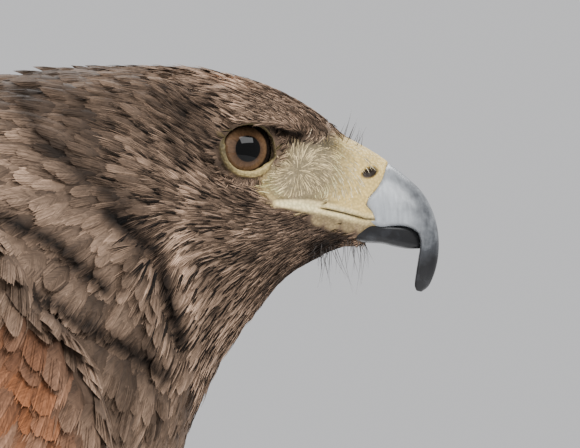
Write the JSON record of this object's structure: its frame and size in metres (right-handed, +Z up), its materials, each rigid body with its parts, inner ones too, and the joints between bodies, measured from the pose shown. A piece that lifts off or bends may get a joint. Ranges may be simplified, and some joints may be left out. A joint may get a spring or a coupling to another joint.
{
  "type": "harris hawk",
  "caption": "Life-size standing hawk at rest with folded wings, long tail, hooked bill, scaly yellow legs and curved claws, as a still model.",
  "frame": {"origin": "on the floor under the middle of the bird's length and width, level with the soles of its feet", "axes": "+X the way the bill points, +Y to the bird's left, +Z up from the floor"},
  "size_m": [0.4106, 0.1382, 0.3228],
  "materials": {
    "plumage": "dark brown body feathers, soft and matt",
    "chestnut_plumage": "chestnut feathers of wing and thigh, matt",
    "tail_plumage": "blackish tail feathers, pale at root and tip",
    "cere": "bare yellow skin at the bill's base, waxy",
    "horn": "blue-grey horn, darker to the tip, satin",
    "eye": "dark brown iris under a clear wet surface",
    "shank_skin": "yellow scaly skin of shank and toes",
    "claw": "black horn, polished"
  },
  "bodies": {
    "root": {"torso": "plumage", "neck": "plumage", "head": "plumage", "wing_left": "chestnut_plumage", "wing_right": "chestnut_plumage", "thigh_left": "chestnut_plumage", "thigh_right": "chestnut_plumage", "tail": "tail_plumage", "cere": "cere", "bill_upper": "horn", "bill_lower": "horn", "eye_left": "eye", "eye_right": "eye", "shank_left": "shank_skin", "shank_right": "shank_skin", "foot_left": "shank_skin", "foot_right": "shank_skin", "claw_toe1_left": "claw", "claw_toe1_right": "claw", "claw_toe2_left": "claw", "claw_toe2_right": "claw", "claw_toe3_left": "claw", "claw_toe3_right": "claw", "claw_toe4_left": "claw", "claw_toe4_right": "claw"}
  },
  "joints": []
}
